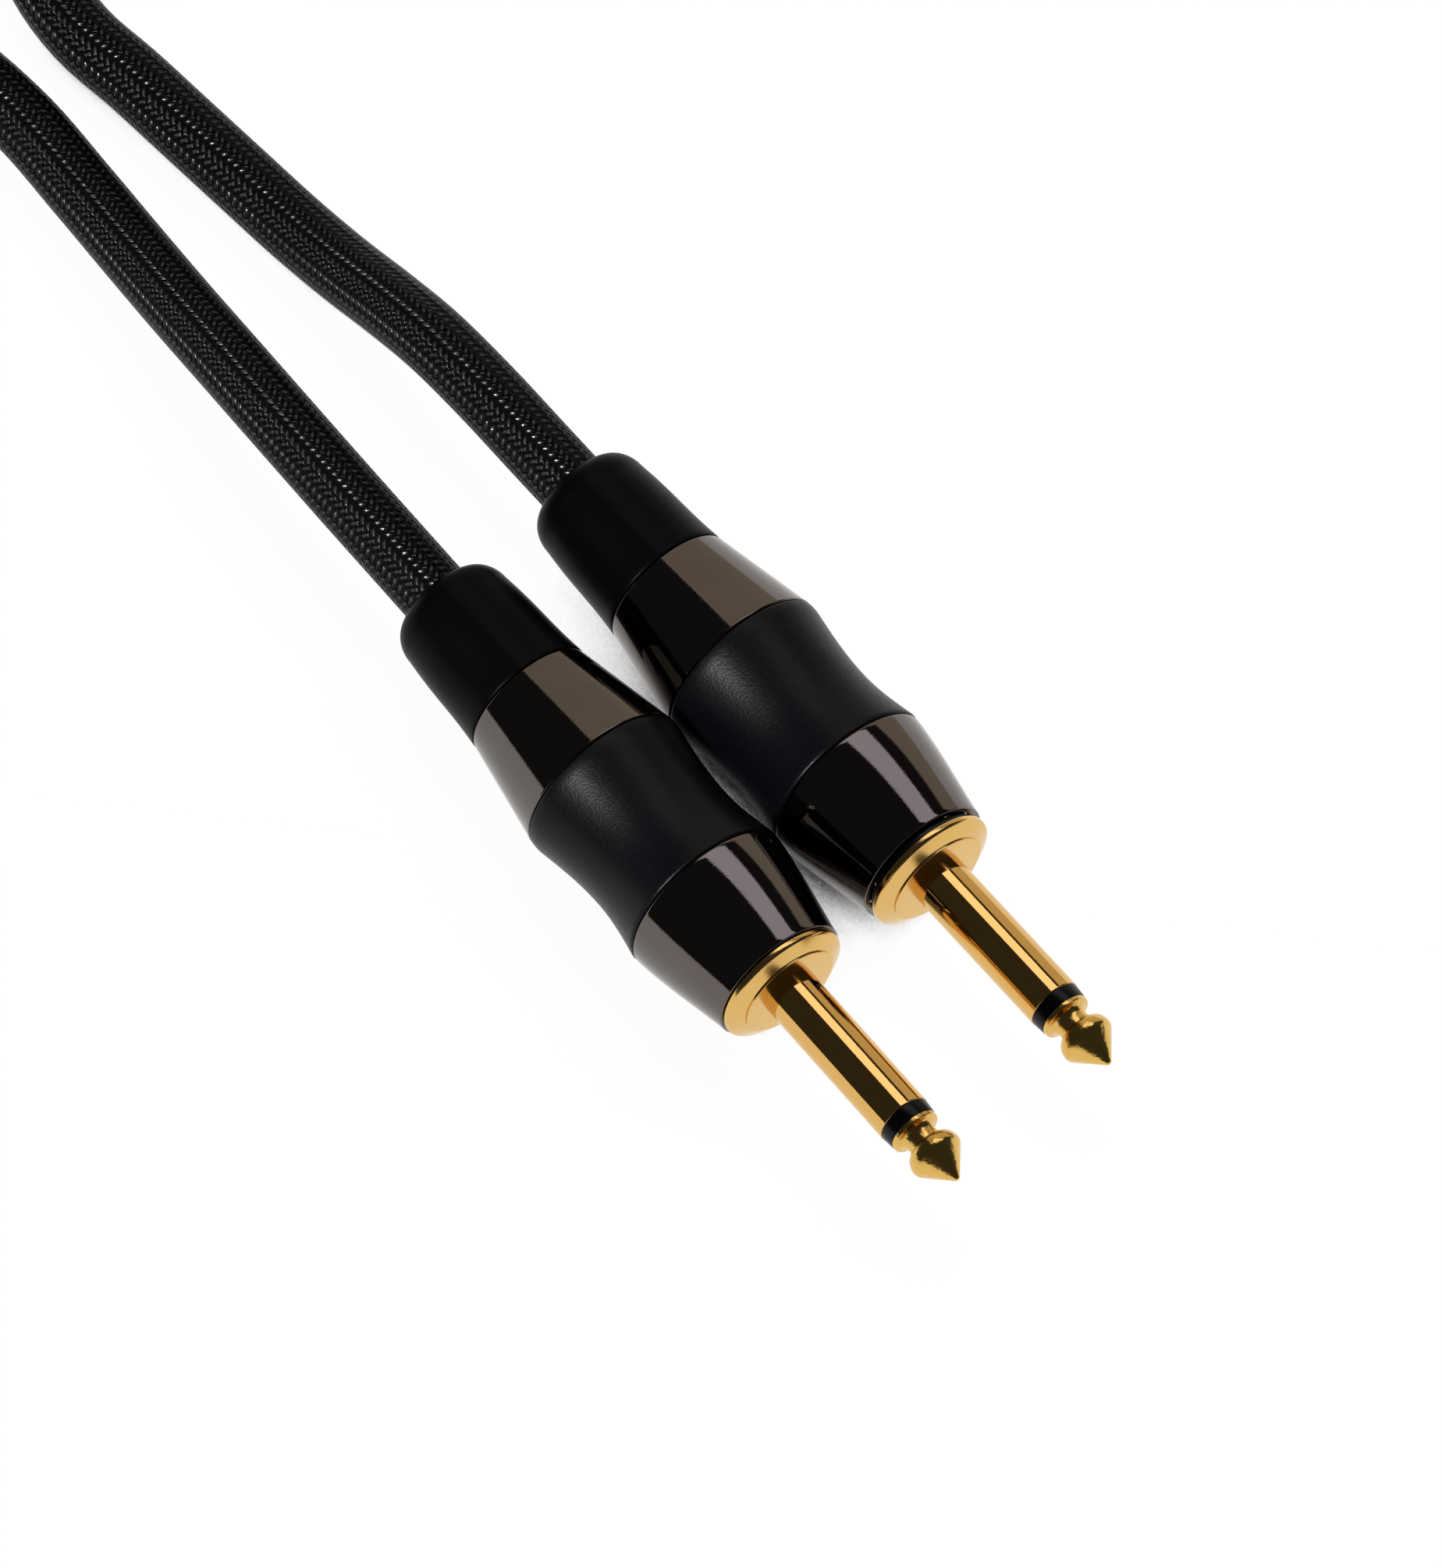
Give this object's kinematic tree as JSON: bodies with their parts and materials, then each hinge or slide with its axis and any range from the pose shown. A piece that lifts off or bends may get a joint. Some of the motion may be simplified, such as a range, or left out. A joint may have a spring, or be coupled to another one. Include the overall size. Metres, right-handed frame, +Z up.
{
  "type": "instrument cable",
  "caption": "Instrument lead with straight jack plugs on both ends, screw-on waisted handles and a thick braided cable folded into a tied hank.",
  "frame": {"origin": "On the table, under the middle of the box round the two plugs without their cable", "axes": "+X along plug a toward its tip, +Z up from the table"},
  "size_m": [0.3512, 0.0968, 0.0382],
  "materials": {
    "boot_rubber": "matte soft rubber",
    "smoked_chrome": "smoked, mirror bright",
    "soft_grip": "soft touch with a fine grain",
    "barrel_metal": "plain turned",
    "seal_black": "smooth",
    "bush_nylon": "moulded",
    "liner_plastic": "moulded",
    "gold_plate": "gold plated and polished",
    "band_black": "satin",
    "insulator_cream": "moulded",
    "insulator_brown": "pressed board",
    "tinned_metal": "tinned",
    "cable_braid": "fine woven braid over a rubber jacket",
    "core_insulation": "smooth",
    "copper_screen": "twisted copper",
    "tie_webbing": "hook and loop webbing"
  },
  "bodies": {
    "root": {"nose_seal_a": "seal_black", "plug_body_a": "gold_plate", "sleeve_a": "gold_plate", "insulator_band_a": "band_black", "tip_a": "gold_plate", "core_tube_a": "insulator_cream", "rear_insulator_a": "insulator_brown", "tip_lug_a": "tinned_metal", "ground_arm_a": "tinned_metal", "cable_end_a": "cable_braid", "core_wire_a": "core_insulation", "screen_wire_a": "copper_screen", "nose_seal_b": "seal_black", "plug_body_b": "gold_plate", "sleeve_b": "gold_plate", "insulator_band_b": "band_black", "tip_b": "gold_plate", "core_tube_b": "insulator_cream", "rear_insulator_b": "insulator_brown", "tip_lug_b": "tinned_metal", "ground_arm_b": "tinned_metal", "cable_end_b": "cable_braid", "core_wire_b": "core_insulation", "screen_wire_b": "copper_screen", "lead_a": "cable_braid", "lead_b": "cable_braid", "cable_hank": "cable_braid", "hank_tie": "tie_webbing"},
    "handle_a": {"boot_a": "boot_rubber", "rear_ring_a": "smoked_chrome", "grip_a": "soft_grip", "barrel_a": "barrel_metal", "nose_a": "smoked_chrome"},
    "bush_a": {"cable_bush_a": "bush_nylon"},
    "liner_a": {"liner_a": "liner_plastic"},
    "handle_b": {"boot_b": "boot_rubber", "rear_ring_b": "smoked_chrome", "grip_b": "soft_grip", "barrel_b": "barrel_metal", "nose_b": "smoked_chrome"},
    "bush_b": {"cable_bush_b": "bush_nylon"},
    "liner_b": {"liner_b": "liner_plastic"}
  },
  "joints": [
    {"name": "thread_travel_a", "type": "slide", "parent": "root", "child": "liner_a", "axis": [-1, 0, 0], "range_m": [0, 0.005]},
    {"name": "handle_slide_a", "type": "slide", "parent": "liner_a", "child": "bush_a", "axis": [-1, 0, 0], "range_m": [0, 0.01]},
    {"name": "handle_turn_a", "type": "hinge", "parent": "bush_a", "child": "handle_a", "pos_m": [-0.03276, -0.01053, 0.01015], "axis": [-1, 0, 0], "range_deg": [0, 1800]},
    {"name": "thread_travel_b", "type": "slide", "parent": "root", "child": "liner_b", "axis": [-0.9999, -0.0157, 0], "range_m": [-0.0008, 0.0042]},
    {"name": "handle_slide_b", "type": "slide", "parent": "liner_b", "child": "bush_b", "axis": [-0.9999, -0.0157, 0], "range_m": [0, 0.01]},
    {"name": "handle_turn_b", "type": "hinge", "parent": "bush_b", "child": "handle_b", "pos_m": [-0.03401, 0.00999, 0.01015], "axis": [-0.9999, -0.0157, 0], "range_deg": [-288, 1512]}
  ],
  "couplings": [
    {"joint": "thread_travel_a", "follows": "handle_turn_a", "m_per_rad": 0.00015915},
    {"joint": "thread_travel_b", "follows": "handle_turn_b", "m_per_rad": 0.00015915}
  ]
}
